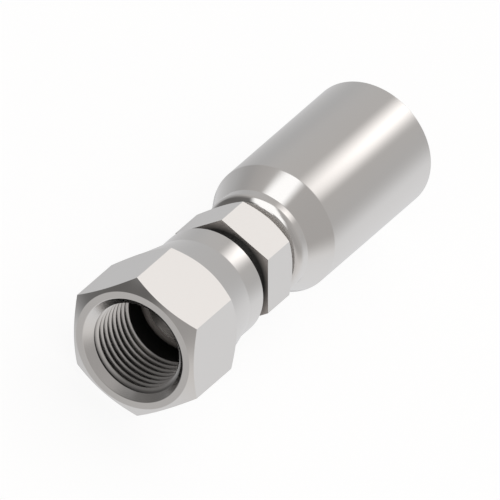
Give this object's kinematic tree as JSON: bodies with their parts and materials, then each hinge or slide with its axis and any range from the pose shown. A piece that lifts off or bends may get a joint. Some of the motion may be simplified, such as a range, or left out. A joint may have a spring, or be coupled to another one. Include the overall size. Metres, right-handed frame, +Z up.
{
  "type": "crimp hose fitting",
  "caption": "Straight crimp hose fitting lying on its side: hexagon swivel nut with internal thread, stem with conical seat, wrench hexagon and barbed tail, and a crimp ferrule for the hose.",
  "frame": {"origin": "on the fitting's axis, where the first full turn of the nut's thread begins, 1.6 mm inside the nut's front face", "axes": "+X along the fitting's axis from the swivel nut towards the ferrule's open end, so the nut's mouth faces -X; +Z up, through the middle of a flat of both hexagons; the fitting lies on its side with the ferrule's lowest line at Z = -11.25 mm"},
  "size_m": [0.0755, 0.0254, 0.0226],
  "materials": {
    "nut_plating": "satin silver zinc-nickel plating on turned and milled steel",
    "stem_plating": "satin silver zinc-nickel plating on turned and milled steel",
    "ferrule_plating": "smooth bright zinc-nickel plating on turned steel"
  },
  "bodies": {
    "hose_end": {"hose_stem": "stem_plating", "crimp_ferrule": "ferrule_plating"},
    "nut": {"swivel_nut": "nut_plating"}
  },
  "joints": [
    {"name": "nut_swivel", "type": "hinge", "parent": "hose_end", "child": "nut", "pos_m": [0.0207, 0, 0], "axis": [1, 0, 0], "continuous": true}
  ]
}
